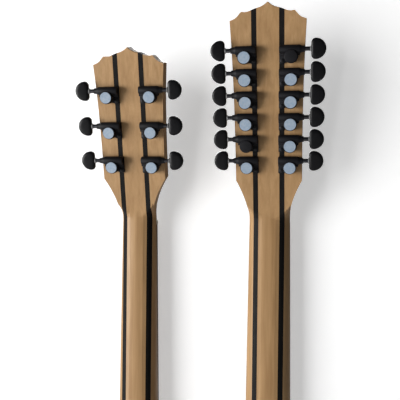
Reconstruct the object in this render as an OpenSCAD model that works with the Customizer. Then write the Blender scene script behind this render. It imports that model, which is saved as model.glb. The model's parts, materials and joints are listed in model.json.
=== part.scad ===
// Double-neck bowl-back bouzouki: a three-course (six-string) neck and a six-course (twelve-string) neck
// on one staved body. Millimetres. +Z runs from the tail to the headstocks, the soundboard faces -Y,
// and the origin is the middle of the end pin's head, where a strap or stand holds the tail.

/* [Scale] */
// Sounding length of the strings, from nut to saddle
scale_length = 670; // [640:5:690]
// Saddle line above the tail end of the body
tail_to_saddle = 112; // [105:1:125]
// Fret at which the necks meet the body
joint_fret = 14; // [13:1:15]

/* [Necks] */
// Distance between the two neck centre lines
neck_spacing = 159; // [150:1:170]
// Width of the six-string neck at its nut
six_nut_w = 41; // [39:0.5:44]
// Width of the twelve-string neck at its nut
twelve_nut_w = 47.5; // [46:0.5:52]
// Neck wood thickness behind the fingerboard at the nut
neck_t = 17; // [15:0.5:20]
// Width of the pale middle lamination
core_w = 24.4; // [22:0.2:26]
// Width of each dark lamination
strip_w = 5.8; // [4:0.2:6.2]
// Fingerboard thickness
board_h = 5.5; // [4:0.5:7]
// Number of frets
fret_count = 24; // [20:1:24]

/* [Headstocks] */
// Backward tilt of the headstocks in degrees
head_tilt = 13; // [8:1:16]
// Headstock wood thickness
head_t = 15; // [13:0.5:17]
// Headstock face veneer thickness
veneer_t = 1.8; // [1:0.2:3]
// Length of the six-string headstock from nut to tip
six_head_len = 208; // [204:1:225]
// Length of the twelve-string headstock from nut to tip
twelve_head_len = 251; // [247:1:270]
// Headstock width at its lower corners
head_low_w = 75; // [74:1:84]
// Headstock width at its upper corners
head_top_w = 83; // [80:1:92]
// Distance from nut to the first pair of tuners
first_post = 71; // [68:1:76]
// Tuner spacing on the six-string headstock
six_post_step = 40.6; // [30:0.2:41]
// Tuner spacing on the twelve-string headstock
twelve_post_step = 24.4; // [23.6:0.2:24.8]

/* [Body] */
// Greatest width of the body
body_w = 400; // [380:5:440]
// Depth of the bowl behind the soundboard
bowl_depth = 150; // [130:5:170]
// Width of the body where the necks join
shoulder_w = 236; // [228:2:250]
// Depth of the bowl where the necks join
shoulder_depth = 62; // [56:1:70]
// Soundboard thickness
top_t = 3; // [2.5:0.1:4]
// Stave thickness
stave_t = 3; // [2.5:0.1:4]
// Number of pale staves in the bowl
stave_count = 11; // [9:2:13]
// Radius of each soundhole
soundhole_r = 30; // [24:1:33]
// Width of the edge binding
binding_w = 4; // [3:0.5:6]

/* [Tuners] */
// Radius of the gear housing's round boss
boss_r = 7.5; // [7:0.1:8]
// Height of the gear housing above the headstock
housing_h = 10.2; // [9.8:0.2:11]
// Height of the tuner button
button_h = 22.4; // [20:0.2:23]
// Depth of the tuner button along its shaft
button_l = 16; // [14:0.5:17]
// Radius of the string post
post_r = 3; // [2.8:0.1:3.1]
// Height of the string post above the headstock face
post_h = 15; // [14:0.5:18]
// Teeth on the worm wheel, which is also the gear ratio
wheel_teeth = 14; // [12:1:16]

/* [Hidden] */
$fn = 48;
SIX = 0;
TWELVE = 1;
BOTH = [SIX, TWELVE];
SIDES = [-1, 1];
HEAD_NAMES = ["six", "twelve"];

// Lengthwise stations
pin_neck_l = 10.2;                    // end pin between the tail and its head
pin_head_l = 5;
tail_z = pin_neck_l + pin_head_l / 2;
saddle_z = tail_z + tail_to_saddle;
nut_z = saddle_z + scale_length;
nut_len = 5;
break_z = nut_z + nut_len;
joint_z = nut_z - fret_at(joint_fret);
face_y = -28;                         // front of the soundboard, so that the end pin's axis is at y = 0
fingerboard_end_z = nut_z - fret_at(fret_count) - 11;

// Per-neck values, indexed by SIX and TWELVE
neck_x = [neck_spacing / 2, -neck_spacing / 2];
nut_half = [six_nut_w / 2, twelve_nut_w / 2];
neck_taper = [0.0140, 0.0122];        // growth of the half width per mm towards the body
head_len = [six_head_len, twelve_head_len];
low_corner_v = [55.5, 54];              // height of the lower headstock corners above the nut
post_count = [3, 6];                  // tuners on each side
post_step = [six_post_step, twelve_post_step];
string_count = [6, 12];

// Neck laminations and back profile
core_half = core_w / 2;
strip_half = core_half + strip_w;
strip_mid = core_half + 2.8;          // bend in a strip's rounded back
neck_edge = 3.5;                      // side thickness at the fingerboard joint
runout_start = 2;                     // where the round neck back starts to rise into the headstock
runout_r = 10;
corner_drop = 19;                     // headstock corners below the tip

// Tuner layout in its own frame: x outwards, y towards the tip, z out of the headstock's back
post_x_low = 24.1;
post_x_top = 25.4;
worm_y = 7.4;
worm_z = 5.4;
worm_r = 2.7;
shaft_r = 2.3;
barrel_r = 4.7;
barrel_in = -13;
barrel_out = 10;
nose_out = 15;
button_in = 21.2;
run_gap = 0.35;                       // running clearance of the turning pieces
wheel_r = worm_y - worm_r - run_gap;  // tip radius of the worm wheel
chamber_r = boss_r - 2;
chamber_floor = 1.6;
cover_t = 1.4;
film_t = 0.25;
bush_r = 4.7;
bush_gap = 0.1;
washer_t = 0.8;
hex_t = 2.4;
tab_x = -10;                          // screw in the housing's foot
tab_y = -4.6;
tab_t = 2.4;
wood_screw_r = 1.1;
winding_r = 0.4;
winding_waist = 2.3;
winding_rise = [8.4, 5.2];            // middle of the winding above the headstock face, alternating by row

// Body shape
widest_z = tail_z + 185;
deepest_z = tail_z + 165;
fillet_deg = 1.1;                     // angle of the dark line between two staves
bridge_h = 7.6;
string_h_saddle = 11;                 // string height above the soundboard at the saddle
string_h_nut = 7.4;
anchor_z = tail_z + 62;               // top of the tailpiece, where the strings hook on

// Base names of the fixed pieces, then the two moving pieces of each tuner
FIXED = ["neck_cores", "neck_dark_strips", "neck_wings", "headstock_veneers", "fingerboards", "frets",
         "fret_markers", "nuts_and_saddles", "truss_rods", "truss_rod_covers", "strings", "bridges",
         "tailpieces", "soundboard", "binding_and_pickguard", "bowl_staves", "bowl_dark_trim",
         "body_frame", "end_pin", "tuner_housings", "tuner_covers", "tuner_cover_films",
         "tuner_bushings", "screws"];
TUNERS = [for (n = BOTH) for (k = [0 : 2 * post_count[n] - 1]) [n, k]];
function knob_name(t) = str(HEAD_NAMES[t[0]], "_knob_", t[1] + 1);
function post_name(t) = str(HEAD_NAMES[t[0]], "_post_", t[1] + 1);

// ---------- Shared functions ----------

function fret_at(i) = scale_length * (1 - pow(2, -i / 12));
function clamp(x, lo, hi) = min(hi, max(lo, x));
function mix(a, b, t) = a + (b - a) * t;

// Half width of a neck at height q above the nut break (q is negative on the neck)
function neck_half(n, q) = nut_half[n] + neck_taper[n] * max(0, -q);

// Half width of the whole outline, with the flare into the headstock's lower corners
function outline_half(n, q) =
    let (c = low_corner_v[n], lead = 9)
    q <= lead ? neck_half(n, q)
    : q <= c ? mix(nut_half[n], head_low_w / 2, pow((q - lead) / (c - lead), 1.8))
    : mix(head_low_w / 2, head_top_w / 2, pow((q - c) / (head_len[n] - corner_drop - c), 2.6));
side_shares = [0.25, 0.45, 0.6, 0.73, 0.87, 1];

// Drop of the scalloped crown below the tip at distance x from the middle
CROWN = [[0, 0], [1.5, 1.4], [4, 3.3], [8, 5.3], [12.2, 6.5], [15, 7.3], [18, 8.6], [21, 9.9], [25, 10.4],
         [28.8, 9.8], [31, 12.2], [33.5, 15.2], [36, 17], [39, 18.2], [head_top_w / 2, corner_drop]];
function crown_drop(x) = lookup(abs(x), CROWN);

// Thickness of the neck wood on its centre line, with the heel growing towards the body
heel_start = 290;
heel_h = shoulder_depth + top_t - 1;
function neck_depth(q) =
    let (full = joint_z - break_z, s = clamp((-q - heel_start) / (-full - heel_start), 0, 1))
    neck_t + 2.5 * clamp(-q / heel_start, 0, 1) + (heel_h - neck_t - 2.5) * pow(s, 2.3);

// Depth of the rounded neck back at distance x from the centre line
function round_back(n, x, q) =
    let (xi = min(1, abs(x) / neck_half(n, q)))
    neck_edge + (neck_depth(q) - neck_edge) * pow(1 - pow(xi, 2.3), 0.56);

// Depth of the back, behind the neck's front plane, at height zeta above the break
function plane_back(zeta) = head_t / cos(head_tilt) + zeta * tan(head_tilt);
function back_depth(n, x, zeta) =
    zeta <= runout_start
    ? round_back(n, x, zeta)
    : let (r = round_back(n, x, zeta))
      min(max(r, plane_back(zeta)), r + pow(zeta - runout_start, 2) / (2 * runout_r));

// Points of a front or back row at station q
function lean(q) = let (s = clamp((q + 10) / 50, 0, 1)) s * s * (3 - 2 * s);
function front_point(x, q) =
    q <= 0 ? [x, 0, q] : [x, q * sin(head_tilt), q * cos(head_tilt)];
function back_point(n, x, q) =
    let (zeta = (q <= 0 ? q : q * cos(head_tilt)) - lean(q) * head_t * sin(head_tilt))
    [x, back_depth(n, x, zeta), zeta];

// Stations along a neck: heel curve, straight neck, run-out, headstock
function neck_stations(n) =
    let (full = joint_z - break_z)
    concat([for (i = [0 : 8]) mix(full, -heel_start, i / 8)],
           [-200, -100, -12, 0, 5],
           [for (q = [8 : 3 : 35]) q],
           [39, 44, 50, low_corner_v[n]]);

// One lamination of a neck. xs gives its across positions at station q, and tip its positions at the crown.
function lamination_rows(n, spans) =
    let (stations = neck_stations(n), low = low_corner_v[n], count = len(stations))
    concat([for (q = stations) [for (u = spans) let (x = span_x(n, u, q)) [x, q]]],
           [for (t = side_shares)
               let (nominal = mix(low, head_len[n] - corner_drop, t))
               [for (u = spans) let (x = span_x(n, u, nominal))
                   [x, mix(low, head_len[n] - crown_drop(x), t)]]]);

// A span position is [fixed x] or [share between the dark strip and the outline, side]
function span_x(n, u, q) = len(u) == 1 ? u[0] : u[1] * mix(strip_half, outline_half(n, q), u[0]);

module lamination(n, spans) {
    rows = lamination_rows(n, spans);
    k = len(spans);
    ring = 2 * k;
    points = [for (row = rows) for (j = [0 : ring - 1])
        j < k ? front_point(row[j][0], row[j][1])
              : back_point(n, row[ring - 1 - j][0], row[ring - 1 - j][1])];
    skin = [for (i = [0 : len(rows) - 2]) for (j = [0 : ring - 1])
        let (a = i * ring + j, b = i * ring + (j + 1) % ring)
        each [[a, b + ring, b], [a, a + ring, b + ring]]];
    last = (len(rows) - 1) * ring;
    ends = [for (j = [0 : k - 2]) each [
        [j, j + 1, ring - 1 - j], [j + 1, ring - 2 - j, ring - 1 - j],
        [last + j, last + ring - 1 - j, last + j + 1],
        [last + j + 1, last + ring - 1 - j, last + ring - 2 - j]]];
    translate([neck_x[n], face_y, break_z])
        polyhedron(points, concat(skin, ends), convexity = 4);
}

// Polygon in x and height, made into a slab between two y planes
module slab(points, y0, y1) {
    translate([0, y1, 0]) rotate([90, 0, 0]) linear_extrude(y1 - y0) polygon(points);
}

// The headstock's own frame: x across, y through its thickness (0 at the wood's front), z towards the tip
module on_head(n) {
    translate([neck_x[n], face_y, break_z]) rotate([-head_tilt, 0, 0]) children();
}

function mirrored(half) = concat(half, [for (i = [len(half) - 1 : -1 : 0]) [-half[i][0], half[i][1]]]);
function head_outline(n, inset) =
    let (c = low_corner_v[n], top = head_len[n] - corner_drop,
         wing = [for (i = [len(wing_shares) - 2 : -1 : 0]) mix(strip_half, head_top_w / 2, wing_shares[i])],
         crown = concat(wing, [strip_mid, core_half, 8, 4, 1.5, 0.05]))
    mirrored(concat(
        [for (q = [0, 9, 14, 20, 26, 32, 38, 44, 50, c]) [outline_half(n, q) - inset, q]],
        [for (t = side_shares) let (q = mix(c, top, t)) [outline_half(n, q) - inset, q]],
        [for (x = crown) [x, head_len[n] - crown_drop(x) - inset]]));

// Tuners: k counts up one side and then the other
function tuner_side(t) = t[1] < post_count[t[0]] ? -1 : 1;
function tuner_row(t) = t[1] % post_count[t[0]];
function winding_height(t) = winding_rise[tuner_row(t) % 2];
function post_v(t) = first_post + tuner_row(t) * post_step[t[0]];
function post_x(t) =
    mix(post_x_low, post_x_top, tuner_row(t) / (post_count[t[0]] - 1));
module on_tuner(t) {
    on_head(t[0])
        translate([tuner_side(t) * post_x(t), head_t, post_v(t)])
            multmatrix([[tuner_side(t), 0, 0, 0], [0, 0, 1, 0], [0, 1, 0, 0], [0, 0, 0, 1]])
                children();
}

// ---------- Necks ----------

core_spans = [for (x = [-core_half, -8, -4, -1.5, 0, 1.5, 4, 8, core_half]) [x]];
wing_shares = [0, 0.15, 0.3, 0.45, 0.5, 0.56, 0.64, 0.76, 0.88, 1];
truss_w = 6.4;
truss_depth = 10;
truss_in_z = joint_z + 14;
truss_out_z = break_z + 20;

module truss_channel(n) {
    translate([neck_x[n] - truss_w / 2, face_y - 1, truss_in_z])
        cube([truss_w, truss_depth + 1, truss_out_z - truss_in_z]);
}

module neck_cores() {
    color("burlywood") for (n = BOTH) difference() {
        lamination(n, core_spans);
        truss_channel(n);
        tuner_holes(n);
    }
}

module neck_dark_strips() {
    color([0.1, 0.09, 0.09]) for (n = BOTH) difference() {
        union() {
            lamination(n, [[core_half], [strip_mid], [strip_half]]);
            lamination(n, [[-strip_half], [-strip_mid], [-core_half]]);
        }
        tuner_holes(n);
    }
}

module neck_wings() {
    color("burlywood") for (n = BOTH) for (s = SIDES) difference() {
        lamination(n, s > 0 ? [for (u = wing_shares) [u, 1]]
                            : [for (i = [len(wing_shares) - 1 : -1 : 0]) [wing_shares[i], -1]]);
        tuner_holes(n);
    }
}

// The bushing's bore and the small screw's hole, wherever they meet the laminations
module tuner_holes(n) {
    for (t = TUNERS) if (t[0] == n) on_tuner(t) {
        translate([0, 0, -head_t - 1]) cylinder(r = bush_r + bush_gap, h = head_t + 2);
        translate([tab_x, tab_y, -8.5]) cylinder(r = wood_screw_r + 0.05, h = 9);
    }
}

module headstock_veneers() {
    color([0.12, 0.1, 0.09]) for (n = BOTH) difference() {
        on_head(n) slab(head_outline(n, 0), -veneer_t, -glue_line);
        for (t = TUNERS) if (t[0] == n) on_tuner(t)
            translate([0, 0, -head_t - veneer_t - 1]) cylinder(r = bush_r + bush_gap, h = veneer_t + 2);
        on_head(n) translate([-truss_w / 2, -veneer_t - 1, 3]) cube([truss_w, veneer_t + 2, 18]);
        for (p = cover_screws) on_head(n)
            translate([p[0], 1, p[1]]) rotate([90, 0, 0])
                cylinder(r = cover_screw_r + 0.05, h = veneer_t + 2);
    }
}

glue_line = 0.03;

// Bell-shaped cover over the truss rod nut
cover_screws = [[-7.5, 10], [7.5, 10], [0, 40]];
cover_screw_r = 0.9;
cover_plate_t = 1.6;
module truss_rod_covers() {
    half = [[12, 4], [12, 10], [10.5, 16], [7.5, 23], [5, 30], [4.4, 37], [4, 42], [2.5, 45]];
    color([0.05, 0.05, 0.05]) for (n = BOTH) difference() {
        on_head(n) slab(mirrored(half), -veneer_t - cover_plate_t, -veneer_t);
        for (p = cover_screws) on_head(n)
            translate([p[0], 0, p[1]]) rotate([90, 0, 0]) cylinder(r = cover_screw_r + 0.05, h = 6);
    }
}

module truss_rods() {
    rod_y = face_y + 6.6;
    color("silver") for (n = BOTH) {
        translate([neck_x[n], rod_y, truss_in_z + 1]) cylinder(r = 2.9, h = break_z + 7 - truss_in_z - 1);
        translate([neck_x[n], rod_y, break_z + 7.1]) difference() {
            cylinder(r = 3.1, h = 9, $fn = 6);
            translate([0, 0, 3]) cylinder(r = 1.9, h = 7, $fn = 6);
        }
    }
}

function fingerboard_half(n, z) = neck_half(n, z - break_z);

module fingerboards() {
    color([0.2, 0.12, 0.09]) for (n = BOTH) difference() {
        translate([neck_x[n], 0, 0]) slab(mirrored([
            [fingerboard_half(n, fingerboard_end_z), fingerboard_end_z],
            [fingerboard_half(n, nut_z), nut_z]]), face_y - board_h, face_y);
        for (i = [1 : fret_count]) translate([neck_x[n] - 40, face_y - board_h - 1, nut_z - fret_at(i) - 0.3])
            cube([80, 1 + tang_depth + 0.05, 0.6]);
        for (m = markers(n)) translate([neck_x[n] + m[0], face_y - board_h - 1, m[1]])
            rotate([-90, 0, 0]) cylinder(r = marker_r + 0.03, h = 1 + marker_t);
    }
}

crown_h = 1.1;
crown_w = 2.2;
tang_depth = 1.8;
module frets() {
    profile = concat([[-0.25, -tang_depth], [0.25, -tang_depth], [0.25, 0]],
        [for (a = [0 : 30 : 180]) [crown_w / 2 * cos(a), 0.25 + (crown_h - 0.25) * sin(a)]],
        [[-crown_w / 2, 0], [-0.25, 0]]);
    shaped = concat([for (i = [0 : 2]) profile[i]], [[crown_w / 2, 0]],
        [for (i = [3 : len(profile) - 1]) profile[i]]);
    color("silver") for (n = BOTH) for (i = [1 : fret_count]) {
        z = nut_z - fret_at(i);
        half = fingerboard_half(n, z) - 0.2;
        translate([neck_x[n] - half, face_y - board_h, z]) rotate([90, 0, 90])
            linear_extrude(2 * half) polygon([for (p = shaped) [-p[1], p[0]]]);
    }
}

marker_r = 3;
marker_t = 1.2;
single_markers = [3, 5, 7, 10, 15, 17, 19];
function between_frets(i) = nut_z - (fret_at(i) + fret_at(i - 1)) / 2;
function markers(n) = concat([for (i = single_markers) [0, between_frets(i)]],
    [for (s = SIDES) [s * 11, between_frets(12)]]);
module fret_markers() {
    color("ivory") for (n = BOTH) for (m = markers(n))
        translate([neck_x[n] + m[0], face_y - board_h, m[1]])
            rotate([-90, 0, 0]) cylinder(r = marker_r, h = marker_t);
}

// ---------- Strings and what carries them ----------

// Courses are pairs; a pair's two strings lie pair_gap apart
pair_gap = 2.3;
function course_count(n) = string_count[n] / 2;
function string_x(n, i, spread) =
    let (c = course_count(n), course = floor(i / 2), pair = i % 2)
    mix(-spread, spread, course / (c - 1)) + (pair - 0.5) * pair_gap;
function nut_spread(n) = nut_half[n] - 4.6;
function saddle_spread(n) = [24, 27.5][n];
function string_r(n, i) =
    n == SIX ? (i < 2 ? 0.36 : i < 4 ? 0.24 : 0.17)
             : mix(0.46, 0.16, floor(i / 2) / 5);
// The outer strings go to the lowest posts and the middle ones to the highest
function string_tuner(n, i) =
    let (c = string_count[n] / 2)
    i < c ? [n, i] : [n, c + (string_count[n] - 1 - i)];
winding_out = winding_waist + 0.05 + 2 * winding_r;
function head_point(x, y, v) =
    [x, y * cos(head_tilt) + v * sin(head_tilt), v * cos(head_tilt) - y * sin(head_tilt)];
function string_path(n, i) =
    let (t = string_tuner(n, i), r = string_r(n, i),
         end = head_point(tuner_side(t) * (post_x(t) - winding_out - run_gap - r),
                          -veneer_t - winding_height(t), post_v(t)))
    [[string_x(n, i, saddle_spread(n)), -anchor_h, anchor_z - 0.6],
     [string_x(n, i, saddle_spread(n)), -string_h_saddle - r, saddle_z],
     [string_x(n, i, nut_spread(n)), -string_h_nut, nut_z + nut_len / 2],
     [string_x(n, i, nut_spread(n)), -string_h_nut + 0.3, break_z],
     end + [0, 0, break_z]];

anchor_h = 4.6;                       // string height above the soundboard at the tailpiece
module tube_along(path, r) {
    sides = 6;
    points = [for (p = path) for (j = [0 : sides - 1])
        p + [r * cos(360 * j / sides), r * sin(360 * j / sides), 0]];
    rows = len(path);
    skin = [for (i = [0 : rows - 2]) for (j = [0 : sides - 1])
        let (a = i * sides + j, b = i * sides + (j + 1) % sides)
        each [[a, b + sides, b], [a, a + sides, b + sides]]];
    polyhedron(points, concat([[for (j = [0 : sides - 1]) j]], skin,
        [[for (j = [sides - 1 : -1 : 0]) (rows - 1) * sides + j]]), convexity = 4);
}

ball_r = 1.1;
module strings() {
    color("silver") for (n = BOTH) for (i = [0 : string_count[n] - 1])
        translate([neck_x[n], face_y, 0]) {
            tube_along(string_path(n, i), string_r(n, i));
            translate([string_x(n, i, saddle_spread(n)), -anchor_h, anchor_z - 2.5])
                cylinder(r = ball_r, h = 2.4);
        }
}

saddle_t = 3;
saddle_in = 2;
nut_h = string_h_nut + 0.4;
module nuts_and_saddles() {
    color("ivory") for (n = BOTH) translate([neck_x[n], face_y, 0]) {
        difference() {
            translate([-nut_half[n], -nut_h, nut_z]) cube([2 * nut_half[n], nut_h, nut_len]);
            for (i = [0 : string_count[n] - 1]) {
                r = string_r(n, i);
                translate([string_x(n, i, nut_spread(n)) - r - 0.15, -nut_h - 1, nut_z - 1])
                    cube([2 * r + 0.3, nut_h + 1 - string_h_nut + r + 0.2, nut_len + 2]);
            }
        }
        translate([-saddle_spread(n) - 4, -string_h_saddle + 0.1, saddle_z - saddle_t / 2])
            cube([2 * saddle_spread(n) + 8, string_h_saddle - bridge_h + saddle_in - 0.1, saddle_t]);
    }
}

// Floating bridges with swept ends
bridge_w = 13;
module bridges() {
    color([0.22, 0.13, 0.09]) for (n = BOTH) {
        half = saddle_spread(n) + 6;
        reach = 26;
        top = [for (i = [0 : 8])
            [half + reach * (1 - i / 8), 2 + (bridge_h - 2) * pow(sin(90 * i / 8), 2)]];
        translate([neck_x[n], face_y, saddle_z - bridge_w / 2]) difference() {
            linear_extrude(bridge_w)
                polygon([for (p = mirrored(concat([[half + reach, 0]], top))) [p[0], -p[1]]]);
            translate([-saddle_spread(n) - 4.1, -bridge_h - 1, bridge_w / 2 - saddle_t / 2 - 0.05])
                cube([2 * saddle_spread(n) + 8.2, 1 + saddle_in + 0.05, saddle_t + 0.1]);
            for (s = SIDES) translate([s * (half - 8), 0.6, -1]) cylinder(r = 5, h = bridge_w + 2);
        }
    }
}

tail_plate_t = 1.4;
tail_screw_z = anchor_z - 21;
function tail_screw_x(n) = saddle_spread(n) - 8;
module tailpieces() {
    color([0.75, 0.75, 0.78]) for (n = BOTH) {
        half = saddle_spread(n) + 6;
        translate([neck_x[n], face_y, 0]) difference() {
            union() {
                slab(mirrored([[half - 10, anchor_z - 29], [half - 3, anchor_z - 27], [half, anchor_z - 22],
                    [half, anchor_z + 4]]), -tail_plate_t, 0);
                translate([-half, -7, anchor_z]) cube([2 * half, 7 - tail_plate_t + 0.4, 4]);
            }
            for (i = [0 : string_count[n] - 1])
                translate([string_x(n, i, saddle_spread(n)), -anchor_h, anchor_z - 1])
                    cylinder(r = string_r(n, i) + 0.3, h = 7);
            for (i = [0 : string_count[n] - 1])
                translate([string_x(n, i, saddle_spread(n)) - string_r(n, i) - 0.3, -8, anchor_z - 1])
                    cube([2 * string_r(n, i) + 0.6, 8 - anchor_h, 7]);
            for (s = SIDES) translate([s * tail_screw_x(n), 1, tail_screw_z]) rotate([90, 0, 0])
                cylinder(r = 1.3, h = 6);
        }
    }
}

// ---------- Body ----------

function half_width(z) =
    z < widest_z ? body_w / 2 * sqrt(max(0, 1 - pow((widest_z - z) / (widest_z - tail_z), 2)))
    : mix(shoulder_w / 2, body_w / 2, cos(90 * (z - widest_z) / (joint_z - widest_z)));
function bowl_at(z) =
    z < deepest_z ? bowl_depth * sqrt(max(0, 1 - pow((deepest_z - z) / (deepest_z - tail_z), 2)))
    : mix(shoulder_depth, bowl_depth, cos(90 * (z - deepest_z) / (joint_z - deepest_z)));

// Right half of the soundboard's outline, tail first, moved inwards by d
outline_z = concat([for (a = [2 : 8 : 90]) mix(widest_z, tail_z, cos(a))],
    [for (i = [1 : 12]) mix(widest_z, joint_z, i / 12)]);
function body_outline(d) =
    let (e = 0.5)
    mirrored(concat([[0.01, tail_z + d]],
        [for (z = outline_z)
            let (zc = clamp(z, tail_z + e, joint_z - e),
                 slope = (half_width(zc + e) - half_width(zc - e)) / (2 * e),
                 k = sqrt(1 + slope * slope))
            [half_width(z) - d / k, min(z + d * slope / k, joint_z - d)]]));

brace_bars = [for (h = [150, 272, 340]) tail_z + h];
brace_t = 8;
brace_h = 13;
module soundboard() {
    color("wheat") difference() {
        slab(body_outline(binding_w), face_y, face_y + top_t);
        for (x = neck_x) translate([x, face_y - 1, hole_z]) rotate([-90, 0, 0])
            cylinder(r = soundhole_r, h = top_t + 2);
        for (n = BOTH) for (s = SIDES)
            translate([neck_x[n] + s * tail_screw_x(n), face_y - 1, tail_screw_z]) rotate([-90, 0, 0])
                cylinder(r = wood_screw_r + 0.05, h = top_t + 2);
    }
}

hole_z = tail_z + 222;
guard_t = 0.8;
guard_half = [[0.01, -56], [20, -59], [40, -66], [60, -70], [82, -71], [104, -68], [122, -61], [134, -51],
              [142, -38], [145, -24], [144, -8], [139, 8], [131, 22], [121, 33], [113, 42], [40, 42],
              [31, 38], [20, 34], [10, 32], [0.01, 31]];
module binding_and_pickguard() {
    color([0.1, 0.08, 0.07]) {
        difference() {
            slab(body_outline(0), face_y, face_y + top_t);
            slab(body_outline(binding_w), face_y - 1, face_y + top_t + 1);
        }
        difference() {
            translate([0, 0, hole_z]) slab(mirrored(guard_half), face_y - guard_t, face_y);
            for (x = neck_x) translate([x, face_y - guard_t - 1, hole_z]) rotate([-90, 0, 0])
                cylinder(r = soundhole_r + 2, h = guard_t + 2);
        }
    }
}

// One stave between two angles around the bowl
function bowl_point(z, a, inset) =
    [(half_width(z) - inset) * cos(a), max(0, bowl_at(z) - inset) * sin(a), z];
stave_z = concat([for (a = [16.9 : 8.1 : 90]) mix(widest_z, tail_z, cos(a))],
    [for (i = [1 : 11]) mix(widest_z, joint_z, i / 11)]);
module stave(a0, a1, steps) {
    ring = 2 * (steps + 1);
    points = [for (z = stave_z) for (j = [0 : ring - 1])
        let (k = j <= steps ? j : ring - 1 - j, a = mix(a0, a1, k / steps))
        bowl_point(z, a, j <= steps ? 0 : stave_t)];
    rows = len(stave_z);
    skin = [for (i = [0 : rows - 2]) for (j = [0 : ring - 1])
        let (a = i * ring + j, b = i * ring + (j + 1) % ring)
        each [[a, b + ring, b], [a, a + ring, b + ring]]];
    last = (rows - 1) * ring;
    ends = [for (j = [0 : steps - 1]) each [
        [j, j + 1, ring - 1 - j], [j + 1, ring - 2 - j, ring - 1 - j],
        [last + j, last + ring - 1 - j, last + j + 1],
        [last + j + 1, last + ring - 1 - j, last + ring - 2 - j]]];
    translate([0, face_y + top_t, 0]) polyhedron(points, concat(skin, ends), convexity = 6);
}

pitch = 180 / stave_count;
module bowl_staves() {
    color("burlywood") for (i = [0 : stave_count - 1])
        stave(i * pitch + (i == 0 ? 0 : fillet_deg / 2),
              (i + 1) * pitch - (i == stave_count - 1 ? 0 : fillet_deg / 2), 3);
}

// A solid that fills the bowl between two heights, used for the blocks and the tail clasp
module bowl_plug(zs, inset) {
    steps = 3 * stave_count;
    ring = steps + 1;
    points = [for (z = zs) for (j = [0 : steps])
        bowl_point(z, 180 * j / steps, inset)];
    skin = [for (i = [0 : len(zs) - 2]) for (j = [0 : steps])
        let (a = i * ring + j, b = i * ring + (j + 1) % ring)
        each [[a, b + ring, b], [a, a + ring, b + ring]]];
    last = (len(zs) - 1) * ring;
    translate([0, face_y + top_t, 0]) polyhedron(points, concat(skin,
        [[for (j = [0 : steps]) j]], [[for (j = [steps : -1 : 0]) last + j]]), convexity = 4);
}

module bowl_dark_trim() {
    color([0.1, 0.09, 0.09]) {
        for (i = [1 : stave_count - 1])
            stave(i * pitch - fillet_deg / 2, i * pitch + fillet_deg / 2, 1);
        difference() {
            bowl_plug([tail_z + 0.4, tail_z + 2, tail_z + 4.5, stave_z[0]], 0);
            cylinder(r = pin_stem_r + 0.05, h = tail_z + 12);
        }
    }
}

block_gap = 0.4;                      // glue gap between the blocks and the staves
module body_frame() {
    color("tan") {
        bowl_plug([for (i = [0 : 2]) stave_z[len(stave_z) - 3 + i]], stave_t + block_gap);
        difference() {
            bowl_plug([for (i = [0 : 3]) stave_z[i] + (i == 0 ? 0.1 : 0)], stave_t + block_gap);
            cylinder(r = pin_stem_r + 0.05, h = tail_z + 28);
            for (n = BOTH) for (s = SIDES)
                translate([neck_x[n] + s * tail_screw_x(n), face_y, tail_screw_z]) rotate([-90, 0, 0])
                    cylinder(r = wood_screw_r + 0.05, h = 16);
        }
        for (z = brace_bars) translate([-half_width(z) + 14, face_y + top_t, z - brace_t / 2])
            cube([2 * half_width(z) - 28, brace_h, brace_t]);
    }
}

pin_stem_r = 3;
pin_head_r = 7.5;
module end_pin() {
    top = pin_head_l / 2;
    color([0.08, 0.08, 0.08]) rotate_extrude() polygon([
        [0, -top - 1.6], [pin_head_r - 0.9, -top - 1], [pin_head_r, -top], [pin_head_r, top],
        [4.4, top + 1.2], [4.4, tail_z - 4], [6.5, tail_z - 2.4], [6.5, tail_z + 0.2],
        [pin_stem_r, tail_z + 0.2], [pin_stem_r, tail_z + 26], [0, tail_z + 26]]);
}

// ---------- Tuners ----------

module along_x() { rotate([0, 90, 0]) children(); }

module tuner_housing() {
    difference() {
        union() {
            cylinder(r = boss_r, h = housing_h);
            translate([barrel_in, 0.6, 0]) cube([barrel_out - barrel_in - 0.6, 10.8, 6.2]);
            linear_extrude(tab_t) polygon([[barrel_in, 1], [barrel_in, -7.2], [barrel_in + 1, -8.2],
                [-9, -8.2], [-4, -6], [4, 1]]);
            translate([barrel_in, worm_y, worm_z]) along_x()
                cylinder(r = barrel_r, h = barrel_out - barrel_in);
            translate([barrel_out, worm_y, worm_z]) along_x()
                cylinder(r1 = barrel_r, r2 = shaft_r + 0.9, h = nose_out - barrel_out);
        }
        translate([0, 0, chamber_floor]) cylinder(r = chamber_r, h = housing_h);
        translate([0, 0, -1]) cylinder(r = post_r + run_gap, h = housing_h);
        translate([barrel_in + 1.6, worm_y, worm_z]) along_x()
            cylinder(r = worm_r + run_gap, h = barrel_out - barrel_in - 3.2);
        translate([barrel_out - 3, worm_y, worm_z]) along_x() cylinder(r = shaft_r + run_gap, h = 12);
        translate([tab_x, tab_y, -1]) cylinder(r = wood_screw_r + 0.15, h = 5);
    }
}

module tuner_housings() {
    color([0.06, 0.06, 0.06]) for (t = TUNERS) on_tuner(t) tuner_housing();
}

module tuner_covers() {
    color([0.07, 0.07, 0.07]) for (t = TUNERS) on_tuner(t) translate([0, 0, housing_h])
        rotate_extrude() polygon([[0, -0.7], [chamber_r - 0.1, -0.7], [chamber_r - 0.1, 0],
            [boss_r - 0.5, 0], [boss_r - 0.5, cover_t - 0.5], [boss_r - 1, cover_t], [0, cover_t]]);
}

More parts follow.
